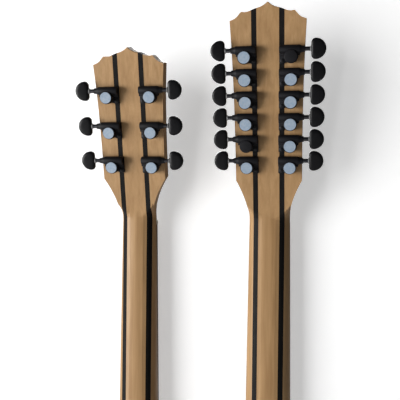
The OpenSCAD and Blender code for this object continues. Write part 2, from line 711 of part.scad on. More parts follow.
// Two covers have lost their protective film
BARE_COVERS = [[TWELVE, 5], [TWELVE, 7]];
function film_on(t) = len([for (b = BARE_COVERS) if (b == t) b]) == 0;
module tuner_cover_films() {
    color([0.72, 0.8, 0.9]) for (t = TUNERS) if (film_on(t)) on_tuner(t)
        translate([0, 0, housing_h + cover_t]) cylinder(r = boss_r - 1.05, h = film_t);
}

module tuner_bushings() {
    sleeve = head_t + veneer_t - 0.3;
    color([0.08, 0.08, 0.08]) for (t = TUNERS) on_tuner(t) {
        difference() {
            union() {
                translate([0, 0, -sleeve - 0.3]) cylinder(r = bush_r, h = sleeve);
                translate([0, 0, -head_t - veneer_t - washer_t - hex_t])
                    cylinder(r = 5.8, h = hex_t, $fn = 6);
                translate([0, 0, -head_t - veneer_t - washer_t - 0.5]) cylinder(r = bush_r, h = 2);
            }
            translate([0, 0, -head_t - 20]) cylinder(r = post_r + run_gap, h = head_t + 30);
        }
        translate([0, 0, -head_t - veneer_t - washer_t]) difference() {
            cylinder(r = 7, h = washer_t);
            translate([0, 0, -1]) cylinder(r = bush_r + 0.1, h = washer_t + 2);
        }
    }
}

module screws() {
    color([0.15, 0.15, 0.16]) {
        for (t = TUNERS) on_tuner(t) translate([tab_x, tab_y, 0]) small_screw(wood_screw_r, tab_t, 2.2, 7.5);
        for (n = BOTH) for (p = cover_screws) on_head(n)
            translate([p[0], -veneer_t - cover_plate_t, p[1]]) rotate([90, 0, 0])
                small_screw(cover_screw_r, 0, 1.6, cover_plate_t + veneer_t - 0.1);
        for (n = BOTH) for (s = SIDES)
            translate([neck_x[n] + s * tail_screw_x(n), face_y - tail_plate_t, tail_screw_z])
                rotate([90, 0, 0]) small_screw(wood_screw_r, 0, 2.4, 15);
    }
}

// Domed head resting at height z0, with its shank going down by length
module small_screw(r, z0, head_r, length) {
    translate([0, 0, z0]) difference() {
        rotate_extrude() polygon([[0, -length], [r, -length], [r, 0], [head_r, 0], [head_r, 0.4],
            [head_r * 0.75, 0.95], [head_r * 0.4, 1.2], [0, 1.25]]);
        translate([-head_r, -0.2, 0.7]) cube([2 * head_r, 0.4, 1]);
        translate([-0.2, -head_r, 0.7]) cube([0.4, 2 * head_r, 1]);
    }
}

// Button outline: a disc cut flat on its inner side, with softened corners
button_disc_r = button_h / 2;
button_disc_x = button_l - button_disc_r;
corner_r = 4;
corner_x = corner_r;
corner_y = sqrt(pow(button_disc_r - corner_r, 2) - pow(button_disc_x - corner_x, 2));
corner_turn = acos((corner_x - button_disc_x) / (button_disc_r - corner_r));
function button_outline() = let (
        rim = [for (i = [0 : 12]) let (a = corner_turn * i / 12)
            [button_disc_x + button_disc_r * cos(a), button_disc_r * sin(a)]],
        soft = [for (i = [1 : 4]) let (a = mix(corner_turn, 180, i / 4))
            [corner_x + corner_r * cos(a), corner_y + corner_r * sin(a)]],
        upper = concat(rim, soft))
    concat(upper, [for (i = [len(upper) - 1 : -1 : 1]) [upper[i][0], -upper[i][1]]]);
lens_r = 30;
button_t = 7;
tenon_r = 1.6;
button_washer_t = 0.8;
tenon_l = 8;

module worm_and_shaft() {
    crest = [for (i = [0 : 6]) each [[worm_r - 0.7, 0.3 + i * 1.8], [worm_r, 0.8 + i * 1.8],
        [worm_r, 1.2 + i * 1.8], [worm_r - 0.7, 1.7 + i * 1.8]]];
    start = -8;
    translate([start, worm_y, worm_z]) along_x() rotate_extrude() polygon(concat(
        [[0, 0], [worm_r - 0.7, 0]], crest,
        [[worm_r - 0.7, 13.2], [worm_r, 13.2], [worm_r, 14.4], [shaft_r, 14.4],
         [shaft_r, button_in - start - 0.1], [tenon_r, button_in - start - 0.1],
         [tenon_r, button_in - start + tenon_l], [0, button_in - start + tenon_l]]));
}

module button() {
    translate([button_in, worm_y, worm_z]) difference() {
        intersection() {
            translate([0, 0, -button_t / 2]) linear_extrude(button_t) polygon(button_outline());
            translate([button_disc_x, 0, button_t / 2 - lens_r]) sphere(r = lens_r, $fn = 64);
            translate([button_disc_x, 0, lens_r - button_t / 2]) sphere(r = lens_r, $fn = 64);
        }
        translate([-1, 0, 0]) along_x() cylinder(r = tenon_r + 0.05, h = button_l + 2);
    }
    translate([button_in + tenon_l + 0.3, worm_y, worm_z]) along_x()
        cylinder(r = tenon_r, h = button_l - tenon_l - 0.6);
    translate([button_in - button_washer_t - 0.1, worm_y, worm_z]) along_x() difference() {
        cylinder(r = 3.1, h = button_washer_t);
        translate([0, 0, -1]) cylinder(r = shaft_r + 0.05, h = 3);
    }
}

module knob(t) {
    color([0.05, 0.05, 0.05]) on_tuner(t) {
        worm_and_shaft();
        button();
    }
}

function wheel_outline() = [for (i = [0 : wheel_teeth - 1]) for (j = [0 : 3])
    let (a = (i + [-0.32, -0.12, 0.12, 0.32][j]) * 360 / wheel_teeth, r = wheel_r - [0.9, 0, 0, 0.9][j])
    [r * cos(a), r * sin(a)]];

module post(t) {
    top = -head_t - veneer_t - post_h;
    wind = -head_t - veneer_t - winding_height(t);
    color([0.3, 0.3, 0.32]) on_tuner(t) {
        difference() {
            union() {
                translate([0, 0, chamber_floor + 0.7]) linear_extrude(6.4) polygon(wheel_outline());
                rotate_extrude() polygon([[0, top], [post_r - 0.8, top], [post_r, top + 0.8],
                    [post_r, wind - 2.2], [winding_waist, wind - 1.5], [winding_waist, wind + 1.5],
                    [post_r, wind + 2.2], [post_r, chamber_floor + 0.7], [post_r, 9], [2.4, 9.2], [0, 9.2]]);
            }
            translate([-5, 0, wind]) along_x() cylinder(r = 0.7, h = 10);
        }
    }
    color("silver") on_tuner(t) for (i = [-1 : 1])
        translate([0, 0, wind + i * (2 * winding_r + 0.03)]) rotate_extrude()
            translate([winding_waist + 0.05 + winding_r, 0]) circle(r = winding_r, $fn = 24);
}

// ---------- Assembly ----------

neck_cores();
neck_dark_strips();
neck_wings();
headstock_veneers();
fingerboards();
frets();
fret_markers();
nuts_and_saddles();
truss_rods();
truss_rod_covers();
strings();
bridges();
tailpieces();
soundboard();
binding_and_pickguard();
bowl_staves();
bowl_dark_trim();
body_frame();
end_pin();
tuner_housings();
tuner_covers();
tuner_cover_films();
tuner_bushings();
screws();
for (t = TUNERS) knob(t);
for (t = TUNERS) post(t);
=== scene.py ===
# %% [markdown]
# # A double-neck bouzouki
#
# This file dresses a finished CAD model of a double-neck bouzouki. The CAD gives every piece its size and
# place. Here the pieces that catch the eye get soft edges, wood gets its grain, and metal gets its gloss.
# The subject is the back of the two headstocks, with their laminated necks and black geared tuners.

# %% Load the CAD frame
import json
import math

import bmesh
import bpy
from mathutils import Matrix, Vector


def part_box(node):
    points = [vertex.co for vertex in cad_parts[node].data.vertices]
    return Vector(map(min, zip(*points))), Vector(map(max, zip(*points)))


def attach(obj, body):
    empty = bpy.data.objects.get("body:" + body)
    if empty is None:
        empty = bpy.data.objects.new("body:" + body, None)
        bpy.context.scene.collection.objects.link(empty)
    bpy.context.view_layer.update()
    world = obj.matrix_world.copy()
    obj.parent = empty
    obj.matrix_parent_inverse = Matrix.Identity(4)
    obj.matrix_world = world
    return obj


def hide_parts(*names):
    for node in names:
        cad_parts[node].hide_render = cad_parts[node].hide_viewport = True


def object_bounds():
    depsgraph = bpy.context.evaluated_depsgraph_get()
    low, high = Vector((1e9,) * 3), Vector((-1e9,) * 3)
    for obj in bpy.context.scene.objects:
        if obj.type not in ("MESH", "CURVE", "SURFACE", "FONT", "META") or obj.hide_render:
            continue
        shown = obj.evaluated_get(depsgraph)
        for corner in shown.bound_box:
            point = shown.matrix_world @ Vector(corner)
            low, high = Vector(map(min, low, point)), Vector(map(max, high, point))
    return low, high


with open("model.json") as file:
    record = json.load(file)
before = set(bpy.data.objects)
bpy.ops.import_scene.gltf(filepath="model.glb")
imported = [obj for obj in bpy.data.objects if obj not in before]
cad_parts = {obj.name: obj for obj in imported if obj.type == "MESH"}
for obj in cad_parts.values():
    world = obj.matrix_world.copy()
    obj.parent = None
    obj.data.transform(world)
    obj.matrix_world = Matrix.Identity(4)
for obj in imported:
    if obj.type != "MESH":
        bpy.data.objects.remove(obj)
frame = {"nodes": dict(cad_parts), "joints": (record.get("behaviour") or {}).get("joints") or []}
nodes = frame["nodes"]
cad_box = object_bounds()
MM = 0.001
SAME_POINT = 2e-6
print("CAD nodes:", len(nodes), "box:", cad_box)

# %% [markdown]
# ## Camera
#
# The instrument is looked at from behind, from a little to the right of its twelve-string neck, so the
# six-string neck is seen slightly from the side. A camera could be aimed with a Track To constraint. Here its
# three axes are written out from yaw, pitch and roll, because the exact angles are known.

# %% Camera
camera_at = Vector((-0.13248, 0.73656, 0.84335))
yaw, pitch, roll = math.radians(10.195), math.radians(-1.326), math.radians(0.472)
focal_px = 641.84
picture_px, sensor_mm = 400, 36

forward = Vector((math.sin(yaw) * math.cos(pitch), -math.cos(yaw) * math.cos(pitch), math.sin(pitch)))
level = Vector((-math.cos(yaw), -math.sin(yaw), 0))
upright = level.cross(forward)
right = level * math.cos(roll) + upright * math.sin(roll)
up = upright * math.cos(roll) - level * math.sin(roll)

camera_data = bpy.data.cameras.new("camera")
camera_data.sensor_width = sensor_mm
camera_data.lens = focal_px / picture_px * sensor_mm
camera_data.clip_end = 60
camera = bpy.data.objects.new("camera", camera_data)
camera.matrix_world = Matrix.Translation(camera_at) @ Matrix((right, up, -forward)).transposed().to_4x4()
bpy.context.scene.collection.objects.link(camera)
bpy.context.scene.camera = camera
print("camera lens:", round(camera_data.lens, 2), "mm")

# %% [markdown]
# ## Helpers for pieces
#
# Every piece goes through the same few steps, so they are written once. A CAD node comes in as loose
# triangles. Merging its doubles joins them into a closed shell, and dissolving flat areas leaves clean
# faces that a bevel can follow. Real edges are never knife sharp, so almost every piece gets a small bevel.
# Where a large flat face meets its bevel the shading is kept sharp, so the flat area has one even tone.

# %% Piece helpers
def cad_copy(name, flat=0.2):
    """A CAD node's shape as a clean bmesh, with its flat areas made into single faces."""
    bm = bmesh.new()
    bm.from_mesh(nodes[name].data)
    bmesh.ops.remove_doubles(bm, verts=bm.verts, dist=SAME_POINT)
    bmesh.ops.dissolve_limit(bm, angle_limit=math.radians(flat), verts=bm.verts, edges=bm.edges)
    return bm


def soften(bm, width, angle=35, segments=2, keep=None):
    """Bevels the sharp outward edges, or those that keep() chooses."""
    sharp = [e for e in bm.edges if len(e.link_faces) == 2
             and e.calc_face_angle_signed(0) > math.radians(angle) and (keep is None or keep(e))]
    if sharp:
        bmesh.ops.bevel(bm, geom=sharp, offset=width, offset_type="OFFSET", affect="EDGES",
                        segments=segments, profile=0.5, material=-1, clamp_overlap=True)
    return len(sharp)


def make_piece(name, bm, material, body, stands_for=(), angle=30):
    """Turns a bmesh into an object that rides on a CAD body."""
    mesh = bpy.data.meshes.new(name)
    bm.to_mesh(mesh)
    bm.free()
    mesh.shade_smooth()
    mesh.set_sharp_from_angle(angle=math.radians(angle))
    mesh.materials.append(material)
    obj = bpy.data.objects.new(name, mesh)
    bpy.context.scene.collection.objects.link(obj)
    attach(obj, body)
    if stands_for:
        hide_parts(*stands_for)
    return obj


def refine(node, material, width=0.3, angle=35, segments=2, flat=0.2, body="instrument", keep=None,
           smooth=20):
    """Stands a softened copy in for a CAD node. Faces that meet at more than smooth degrees shade apart."""
    bm = cad_copy(node, flat)
    count = soften(bm, width * MM, angle, segments, keep)
    obj = make_piece(node + "_piece", bm, material, body, [node], angle=smooth)
    print(node, "- edges softened:", count, "faces:", len(obj.data.polygons))
    return obj


# %% [markdown]
# ## Helpers for materials
#
# A material is built from a few nodes: object coordinates stretched along the grain, noise for the pattern,
# a ramp for its colours, and a bump for what the finger would feel. Object coordinates are in metres here,
# so a noise scale of 100 gives patches about a centimetre across.

# %% Material helpers
class Finish:
    """A Principled material with short calls for the nodes this scene needs."""

    def __init__(self, name, **sockets):
        self.material = bpy.data.materials.new(name)
        self.material.use_nodes = True
        self.tree = self.material.node_tree
        self.shader = self.tree.nodes["Principled BSDF"]
        for socket, value in sockets.items():
            self.shader.inputs[socket.replace("_", " ")].default_value = value

    def node(self, kind, inputs=None, **settings):
        made = self.tree.nodes.new(kind)
        for key, value in settings.items():
            setattr(made, key, value)
        for key, value in (inputs or {}).items():
            if isinstance(value, bpy.types.NodeSocket):
                self.tree.links.new(value, made.inputs[key])
            else:
                made.inputs[key].default_value = value
        return made

    def place(self, scale=(1, 1, 1)):
        where = self.node("ShaderNodeTexCoord").outputs["Object"]
        return self.node("ShaderNodeMapping", {"Vector": where, "Scale": scale}).outputs[0]

    def noise(self, vector, scale, detail=3.0, rough=0.5, warp=0.0):
        return self.node("ShaderNodeTexNoise", {"Vector": vector, "Scale": scale, "Detail": detail,
                                                "Roughness": rough, "Distortion": warp}).outputs["Fac"]

    def ramp(self, fac, *stops):
        made = self.node("ShaderNodeValToRGB", {"Fac": fac})
        ends = made.color_ramp.elements
        while len(ends) < len(stops):
            ends.new(0.5)
        for end, (at, colour) in zip(ends, stops):
            end.position = at
            end.color = (*colour, 1)
        return made.outputs["Color"]

    def blend(self, fac, a, b, mode="MIX"):
        made = self.node("ShaderNodeMix", {}, data_type="RGBA", blend_type=mode)
        for key, value in (("Factor", fac), ("A", a), ("B", b)):
            put = [i for i in made.inputs if i.name == key and i.enabled][0]
            if isinstance(value, bpy.types.NodeSocket):
                self.tree.links.new(value, put)
            else:
                put.default_value = value
        return [o for o in made.outputs if o.enabled][0]

    def spread(self, fac, low, high):
        """Stretches a 0.3 to 0.7 noise to the range low to high."""
        return self.node("ShaderNodeMapRange", {"Value": fac, "From Min": 0.3, "From Max": 0.7,
                                                "To Min": low, "To Max": high}).outputs[0]

    def colour(self, socket):
        self.tree.links.new(socket, self.shader.inputs["Base Color"])

    def roughness(self, socket):
        self.tree.links.new(socket, self.shader.inputs["Roughness"])

    def bump(self, height, strength, distance):
        made = self.node("ShaderNodeBump", {"Height": height, "Strength": strength, "Distance": distance})
        self.tree.links.new(made.outputs[0], self.shader.inputs["Normal"])


# %% [markdown]
# ## Woods
#
# The necks are hard maple: pale tan, close grained, with faint darker streaks that run the length of the
# neck and small flecks across it, under a thin clear lacquer. Wood could be a picture wrapped on the surface,
# but then it would stop at the edges. A pattern in space runs through the solid the way real grain does.

# %% Maple
def maple(name, pale, dark, streak_scale=34):
    wood = Finish(name, Roughness=0.5, Coat_Weight=0.12, Coat_Roughness=0.3, Specular_IOR_Level=0.3)
    along = wood.place(scale=(1, 1, 0.045))
    streaks = wood.noise(along, streak_scale * 6, 5, 0.55, 0.4)
    clouds = wood.noise(wood.place(scale=(1, 1, 0.3)), streak_scale, 3, 0.5)
    pores = wood.noise(wood.place(scale=(1, 1, 0.03)), 1500, 2, 0.6)
    base = wood.ramp(streaks, (0.32, dark), (0.68, pale))
    cloudy = wood.blend(wood.spread(clouds, 0.0, 0.35), base, (*[0.86 * c for c in dark], 1))
    flecked = wood.blend(wood.spread(pores, 0.0, 0.16), cloudy, (*[0.62 * c for c in dark], 1))
    wood.colour(flecked)
    wood.roughness(wood.spread(pores, 0.45, 0.6))
    wood.bump(pores, 0.12, 0.0002)
    return wood.material


neck_maple = maple("neck_maple", (0.50, 0.305, 0.140), (0.37, 0.210, 0.088))
wing_maple = maple("wing_maple", (0.51, 0.315, 0.150), (0.38, 0.218, 0.093), 40)


# %% Dark woods
def dark_wood(name, base, streak, rough, coat, shine=0.35):
    wood = Finish(name, Roughness=rough, Coat_Weight=coat, Coat_Roughness=0.15, Specular_IOR_Level=shine)
    grain = wood.noise(wood.place(scale=(1, 1, 0.035)), 420, 5, 0.6, 0.3)
    pores = wood.noise(wood.place(scale=(1, 1, 0.05)), 1900, 2, 0.6)
    wood.colour(wood.ramp(grain, (0.35, base), (0.72, streak)))
    wood.roughness(wood.spread(pores, rough - 0.08, rough + 0.12))
    wood.bump(pores, 0.2, 0.0002)
    return wood.material


black_wood = dark_wood("black_dyed_wood", (0.005, 0.0046, 0.0046), (0.012, 0.010, 0.009), 0.6, 0.0, 0.12)
black_veneer = dark_wood("black_face_veneer", (0.012, 0.010, 0.009), (0.028, 0.022, 0.019), 0.3, 0.7)
rosewood = dark_wood("rosewood", (0.035, 0.016, 0.010), (0.115, 0.055, 0.032), 0.5, 0.0)
ebony = dark_wood("ebony_pin", (0.008, 0.007, 0.007), (0.020, 0.017, 0.016), 0.3, 0.3)
bowl_wood = dark_wood("bowl_rosewood", (0.085, 0.030, 0.014), (0.24, 0.105, 0.045), 0.35, 0.8)


# %% [markdown]
# The soundboard is spruce, cut so that fine growth lines run straight down it a millimetre or two apart. A
# wave texture gives even lines, and a little distortion keeps them from looking ruled.

# %% Spruce and block wood
spruce = Finish("spruce_top", Roughness=0.4, Coat_Weight=0.6, Coat_Roughness=0.12)
growth = {"Vector": spruce.place(scale=(1, 1, 0.02)), "Scale": 160.0, "Distortion": 1.4,
          "Detail": 2.0, "Detail Scale": 1.5}
lines = spruce.node("ShaderNodeTexWave", growth, bands_direction="X").outputs["Fac"]
silk = spruce.noise(spruce.place(scale=(1, 1, 0.12)), 60, 3, 0.5)
grown = spruce.ramp(lines, (0.15, (0.60, 0.37, 0.17)), (0.6, (0.74, 0.50, 0.26)))
spruce.colour(spruce.blend(spruce.spread(silk, 0.0, 0.3), grown, (0.66, 0.40, 0.18, 1)))
spruce.bump(lines, 0.08, 0.0002)
spruce = spruce.material
block_wood = maple("block_mahogany", (0.50, 0.30, 0.16), (0.36, 0.20, 0.10))

# %% [markdown]
# ## Metals and plastics
#
# The tuners are die cast in satin black, so what shows of them is mostly a weak reflection of the light. A
# nearly black base with little shine gives that. Tiny noise in the roughness keeps large faces from looking
# like glass. Sixteen of the gear covers still wear the thin bluish film that protects them in the box.

# %% Metals and plastics
def plated(name, colour, metal, rough, coat=0.0, grain=0.03, scale=900, shine=0.5):
    skin = Finish(name, Metallic=metal, Roughness=rough, Coat_Weight=coat, Coat_Roughness=0.12,
                  Specular_IOR_Level=shine)
    wear = skin.noise(skin.place(), scale, 3, 0.6)
    patches = skin.noise(skin.place(), 60, 2, 0.5)
    skin.colour(skin.blend(skin.spread(patches, 0.0, 1.0), (*colour, 1), (*[c * 0.82 for c in colour], 1)))
    skin.roughness(skin.spread(wear, rough - grain, rough + grain))
    skin.bump(wear, 0.05, 0.0001)
    return skin.material


black_cast = plated("black_tuner_casting", (0.006, 0.006, 0.008), 0.0, 0.55, shine=0.22)
black_button = plated("black_tuner_button", (0.005, 0.005, 0.006), 0.0, 0.3, shine=0.2)
shaft_steel = plated("black_shaft_steel", (0.09, 0.09, 0.10), 1.0, 0.3)
black_chrome = plated("black_chrome_post", (0.16, 0.16, 0.18), 1.0, 0.2)
black_screw = plated("black_screw_steel", (0.03, 0.03, 0.033), 0.6, 0.35)
black_plastic = plated("black_cover_plastic", (0.012, 0.012, 0.012), 0.0, 0.15, 0.5)
fret_metal = plated("fret_nickel_silver", (0.72, 0.70, 0.64), 1.0, 0.25)
string_steel = plated("string_steel", (0.70, 0.68, 0.63), 1.0, 0.28)
nickel = plated("nickel_plate", (0.74, 0.71, 0.66), 1.0, 0.18)
rod_steel = plated("truss_rod_steel", (0.50, 0.50, 0.50), 1.0, 0.4)
washer_white = plated("button_washer_nylon", (0.34, 0.34, 0.345), 0.0, 0.4)
pearl = plated("marker_pearl", (0.80, 0.78, 0.72), 0.0, 0.2, 0.6, scale=300)
bone = plated("bone", (0.76, 0.68, 0.52), 0.0, 0.4, 0.2, scale=400)

# %% Protective film
film = Finish("protective_film", Roughness=0.35, Coat_Weight=0.4, Coat_Roughness=0.2)
wrinkles = film.noise(film.place(), 500, 4, 0.6, 0.6)
blush = film.noise(film.place(), 420, 3, 0.6)
film.colour(film.blend(film.spread(blush, 0.0, 1.0), (0.25, 0.34, 0.45, 1), (0.36, 0.42, 0.49, 1)))
film.roughness(film.spread(wrinkles, 0.3, 0.5))
film.bump(wrinkles, 0.25, 0.0002)
film = film.material

# %% [markdown]
# Binding and pickguard are dark celluloid with a brown tortoise mottle: two sizes of noise, the larger one
# cutting the smaller one off, make blotches with soft brown rims.

# %% Celluloid
celluloid = Finish("tortoise_celluloid", Roughness=0.18, Coat_Weight=0.6, Coat_Roughness=0.06)
blots = celluloid.noise(celluloid.place(), 70, 3, 0.55, 0.8)
flame = celluloid.noise(celluloid.place(), 260, 3, 0.6, 0.4)
shell = celluloid.ramp(blots, (0.42, (0.012, 0.006, 0.004)), (0.55, (0.10, 0.030, 0.010)),
                       (0.68, (0.26, 0.095, 0.022)))
celluloid.colour(celluloid.blend(celluloid.spread(flame, 0.0, 0.5), shell, (0.015, 0.008, 0.005, 1)))
celluloid = celluloid.material

# %% [markdown]
# ## The laminated necks
#
# Each neck is five boards glued side by side: a wide maple core, two thin black strips and two maple wings.
# The boards are planed flush, so only the outline of the whole stack is rounded over, never the seams. The
# bevel below therefore skips every edge that lies in a seam, which it finds by its distance from the middle.
# It also skips the edges alongside the fingerboard, because those are covered.

# %% Seam test
neck_middle = {}
joint_of = {j["child"]: j for j in frame["joints"]}
posts = {child: j for child, j in joint_of.items() if "_post_" in child}
for family in ("six", "twelve"):
    xs = [j["pos_m"][0] for name, j in posts.items() if name.startswith(family)]
    neck_middle[family] = (min(xs) + max(xs)) / 2
core_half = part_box("neck_cores")[1].x - neck_middle["six"]
strip_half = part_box("neck_dark_strips")[1].x - neck_middle["six"]
print("neck middles:", neck_middle, "seams at", round(core_half, 5), round(strip_half, 5))


board_end_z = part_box("fingerboards")[1].z
SEAM_REACH = 3e-5


def on_seam(v):
    off = min(abs(v.co.x - m) for m in neck_middle.values())
    return min(abs(off - core_half), abs(off - strip_half)) < SEAM_REACH


def outside_edge(e):
    ends = e.verts[0].co - e.verts[1].co
    both_on_seam = on_seam(e.verts[0]) and on_seam(e.verts[1])
    runs_along_seam = both_on_seam and abs(ends.x) < 1e-5
    behind_board = all(v.co.z < board_end_z for v in e.verts)
    return not runs_along_seam and not behind_board


# %% Necks
for node, wood in (("neck_cores", neck_maple), ("neck_dark_strips", black_wood), ("neck_wings", wing_maple)):
    board = refine(node, wood, width=0.9, angle=42, segments=3, flat=0.05, keep=outside_edge, smooth=10)
    even = board.modifiers.new("even_shading", "WEIGHTED_NORMAL")
    even.keep_sharp = True

# %% [markdown]
# ## The tuners
#
# All eighteen tuners are alike, so one is modelled in its own small frame and set in place eighteen times: x
# runs outwards along the shaft, y towards the tip of the headstock, and z out of its back. The places come
# from the joints, which already say where each post stands and which way it turns.

# %% Tuner places
class Tuner:
    """One tuner's place: its post, its knob and the matrix that sets its shapes there."""

    def __init__(self, post_name):
        joint = posts[post_name]
        knob = joint_of[post_name.replace("post", "knob")]
        out = Vector(knob["axis"]).normalized()
        back = Vector(joint["axis"]).normalized()
        tip = Vector((0, -back.z, back.y))
        self.post, self.knob = post_name, knob["child"]
        axes = Matrix((out * MM, tip * MM, back * MM)).transposed().to_4x4()
        self.matrix = Matrix.Translation(Vector(joint["pos_m"])) @ axes
        self.mirrored = axes.determinant() < 0

    def set_in_place(self, bm):
        """Moves a shape from the tuner's frame, in millimetres, to the instrument."""
        bmesh.ops.transform(bm, matrix=self.matrix, verts=bm.verts)
        if self.mirrored:
            bmesh.ops.reverse_faces(bm, faces=bm.faces)
        return bm


tuners = [Tuner(name) for name in sorted(posts)]
shaft_point = tuners[0].matrix.inverted() @ Vector(joint_of[tuners[0].knob]["pos_m"])
SHAFT_Y, SHAFT_Z = round(shaft_point.y, 3), round(shaft_point.z, 3)
print("tuners:", len(tuners), "shaft at", SHAFT_Y, SHAFT_Z)


def joined(parts):
    """Several bmeshes as one."""
    whole = bmesh.new()
    for part in parts:
        mesh = bpy.data.meshes.new("part")
        part.to_mesh(mesh)
        part.free()
        whole.from_mesh(mesh)
        bpy.data.meshes.remove(mesh)
    return whole


# %% [markdown]
# The housing is one casting: a round boss over the gear, a long hump over the worm, a nose where the shaft
# comes out, and a low foot for the screw. Overlapping rounded solids, spun or extruded and bevelled, read as
# one casting once they share a finish, and they stay inside the real outline. The CAD casting is hollow. Here
# it is filled, so the worm and the post run inside solid material; none of that can be seen from outside.

# %% Housing shapes
def turned(profile, segments=40, axis="z"):
    """A closed solid of revolution from (radius, height) pairs, spun around z or laid along x."""
    bm = bmesh.new()
    verts = [bm.verts.new((r, 0, h)) for r, h in profile]
    edges = [bm.edges.new(pair) for pair in zip(verts, verts[1:])]
    bmesh.ops.spin(bm, geom=verts + edges, cent=(0, 0, 0), axis=(0, 0, 1), angle=2 * math.pi,
                   steps=segments, use_merge=True)
    bmesh.ops.remove_doubles(bm, verts=bm.verts, dist=1e-5)
    bmesh.ops.recalc_face_normals(bm, faces=bm.faces)
    if axis == "x":
        bmesh.ops.rotate(bm, matrix=Matrix.Rotation(math.pi / 2, 3, "Y"), verts=bm.verts)
    return bm


def slab(outline, z0, z1, round_over, segments=3):
    """An outline raised from z0 to z1, with its upper rim rounded."""
    bm = bmesh.new()
    face = bm.faces.new([bm.verts.new((x, y, z0)) for x, y in outline])
    raised = bmesh.ops.extrude_face_region(bm, geom=[face])["geom"]
    upper = [g for g in raised if isinstance(g, bmesh.types.BMVert)]
    bmesh.ops.translate(bm, vec=(0, 0, z1 - z0), verts=upper)
    bmesh.ops.recalc_face_normals(bm, faces=bm.faces)
    rim = [e for e in bm.edges if all(v.co.z > z1 - 1e-4 for v in e.verts)
           or abs(e.verts[0].co.z - e.verts[1].co.z) > 0.5]
    bmesh.ops.bevel(bm, geom=rim, offset=round_over, offset_type="OFFSET", affect="EDGES",
                    segments=segments, profile=0.5, material=-1, clamp_overlap=True)
    return bm


def housing():
    boss = turned([(0, 0), (7.5, 0), (7.5, 9.0), (7.3, 9.7), (6.8, 10.2), (0, 10.2)], 48)
    hump = turned([(0, -13), (3.6, -13), (4.4, -12.6), (4.7, -11.8), (4.7, 8.8), (4.4, 9.8), (3.9, 10.6),
                   (3.4, 12.4), (3.1, 15), (0, 15)], 36, "x")
    bmesh.ops.translate(hump, vec=(0, SHAFT_Y, SHAFT_Z), verts=hump.verts)
    block = slab([(-13, 0.6), (9.4, 0.6), (9.4, 11.4), (-13, 11.4)], 0, 6.6, 0.8)
    foot = slab([(-13, 2), (-13, -7.2), (-12, -8.2), (-9, -8.2), (-4, -6), (4, 2)], 0, 2.4, 0.5)
    return joined([boss, hump, block, foot])


# %% Housings, covers and films
housings = [t.set_in_place(housing()) for t in tuners]
make_piece("tuner_housings_piece", joined(housings), black_cast, "instrument",
           ["tuner_housings"], angle=40)
refine("tuner_covers", black_cast, width=0.15, angle=30)
refine("tuner_cover_films", film, width=0.08, angle=30)
refine("tuner_bushings", black_cast, width=0.15, angle=40)

# %% [markdown]
# The button is a flattened disc, cut straight on its inner side and fuller in the middle than at the rim. It
# starts as one outline, extruded both ways in steps that shrink and rise, the way a potter builds a dome.
# Smooth shading then hides the steps.

# %% Button shape
BUTTON_IN, BUTTON_L, BUTTON_H, BUTTON_T = 21.2, 16, 22.4, 7
BUTTON_CORNER = 4.6
RIM_STEPS, CORNER_STEPS = 14, 4
DOME = ((0.16, 1.0), (0.50, 0.978), (0.76, 0.925), (0.91, 0.83), (0.98, 0.62), (1.0, 0.3))


def button_outline():
    disc = BUTTON_H / 2
    centre, corner = BUTTON_L - disc, BUTTON_CORNER
    corner_y = math.sqrt((disc - corner) ** 2 - (centre - corner) ** 2)
    turn = math.acos((corner - centre) / (disc - corner))
    rim = [(centre + disc * math.cos(turn * i / RIM_STEPS), disc * math.sin(turn * i / RIM_STEPS))
           for i in range(RIM_STEPS + 1)]
    soft = [(corner + corner * math.cos(turn + (math.pi - turn) * i / CORNER_STEPS),
             corner_y + corner * math.sin(turn + (math.pi - turn) * i / CORNER_STEPS))
            for i in range(1, CORNER_STEPS + 1)]
    upper = rim + soft
    return upper + [(x, -y) for x, y in reversed(upper[1:])]


def button():
    bm = bmesh.new()
    bm.faces.new([bm.verts.new((x, y, 0)) for x, y in button_outline()])
    middle = Matrix.Translation((-BUTTON_L / 2, 0, 0))
    for side in (1, -1):
        if side < 0:
            rim = [e for e in bm.edges if e.is_boundary]
            top = bmesh.ops.contextual_create(bm, geom=rim)["faces"][0]
        else:
            top = bm.faces[:][0]
        size = 1.0
        for rise, share in DOME:
            top = bmesh.ops.extrude_discrete_faces(bm, faces=[top])["faces"][0]
            for v in top.verts:
                v.co.z = side * rise * BUTTON_T / 2
            bmesh.ops.scale(bm, vec=(share / size, share / size, 1), space=middle, verts=top.verts)
            size = share
    bmesh.ops.recalc_face_normals(bm, faces=bm.faces)
    bmesh.ops.translate(bm, vec=(BUTTON_IN, SHAFT_Y, SHAFT_Z), verts=bm.verts)
    return bm


# %% Knobs
WORM_RINGS, WORM_PITCH = 7, 1.8
WORM_ROOT, WORM_CREST, SHAFT_R, SHAFT_L = 2.0, 2.7, 2.3, 29.1


def shaft():
    """The worm, as rings, then a collar and the plain shaft that the button sits on."""
    ring = ((WORM_ROOT, 0.3), (WORM_CREST, 0.8), (WORM_CREST, 1.2), (WORM_ROOT, 1.7))
    crests = [(r, x + i * WORM_PITCH) for i in range(WORM_RINGS) for r, x in ring]
    collar = [(WORM_ROOT, 13.2), (WORM_CREST, 13.2), (WORM_CREST, 14.4), (SHAFT_R, 14.4)]
    profile = [(0, 0), (WORM_ROOT, 0)] + crests + collar + [(SHAFT_R, SHAFT_L), (0, SHAFT_L)]
    bm = turned(profile, 28, "x")
    bmesh.ops.translate(bm, vec=(-8, SHAFT_Y, SHAFT_Z), verts=bm.verts)
    return bm


def washer():
    bm = turned([(2.35, 0), (3.1, 0), (3.1, 0.8), (2.35, 0.8), (2.35, 0)], 28, "x")
    bmesh.ops.translate(bm, vec=(BUTTON_IN - 0.9, SHAFT_Y, SHAFT_Z), verts=bm.verts)
    return bm


